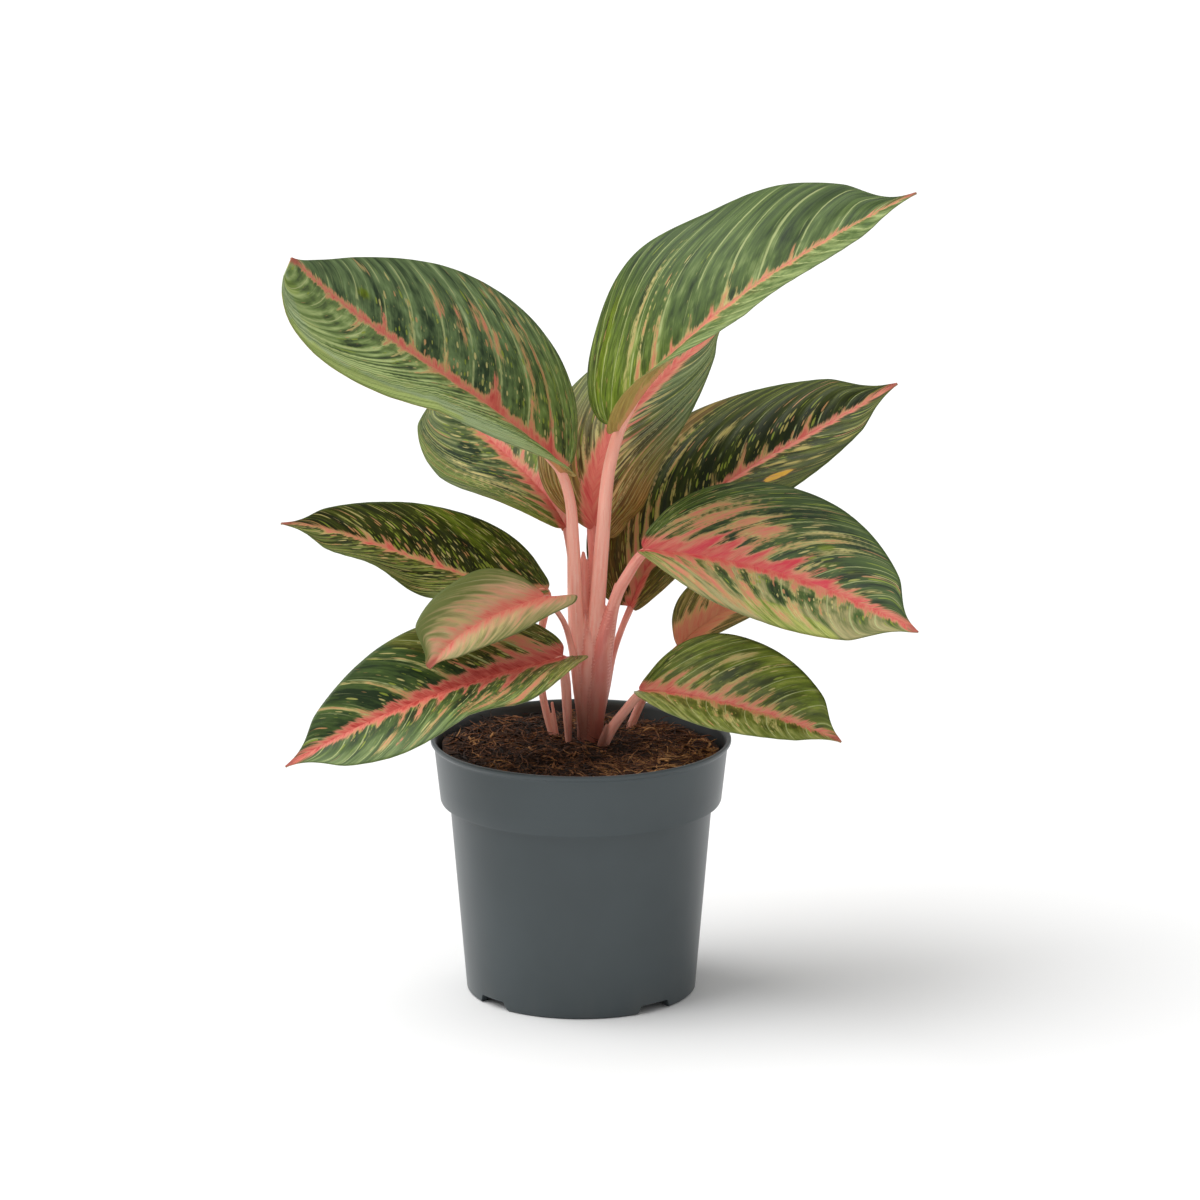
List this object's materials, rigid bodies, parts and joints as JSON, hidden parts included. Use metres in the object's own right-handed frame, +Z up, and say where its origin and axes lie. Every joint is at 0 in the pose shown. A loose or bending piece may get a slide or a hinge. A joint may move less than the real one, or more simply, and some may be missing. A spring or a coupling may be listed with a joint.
{
  "type": "potted foliage plant",
  "caption": "Potted aglaonema with broad olive, green and pink-red leaves on pale pink stalks, in a round slate grey plastic nursery pot filled with fibrous potting mix.",
  "frame": {"origin": "middle of the bounding box's underside, on the plane that the pot stands on", "axes": "+Z up along the pot's axis, -Y towards the side that was pictured, +X to that side's right"},
  "size_m": [0.251, 0.1508, 0.3278],
  "materials": {
    "pot": "smooth satin, moulded",
    "potting_mix": "loose, fibrous and matt",
    "stalk": "smooth and softly shiny",
    "leaf": "waxy satin"
  },
  "bodies": {
    "root": {"pot": "pot", "potting_mix": "potting_mix", "main_shoot": "stalk", "stalk_lower_left": "stalk", "side_shoot_left": "stalk", "side_shoot_right": "stalk", "side_shoot_right_rear": "stalk", "leaf_upper_left": "leaf", "leaf_upper_right": "leaf", "leaf_middle_left": "leaf", "leaf_centre_rear": "leaf", "leaf_middle_right": "leaf", "leaf_front_right": "leaf", "leaf_left": "leaf", "leaf_small_front": "leaf", "leaf_lower_left": "leaf", "leaf_lower_right": "leaf", "leaf_right_rear": "leaf"}
  },
  "joints": []
}
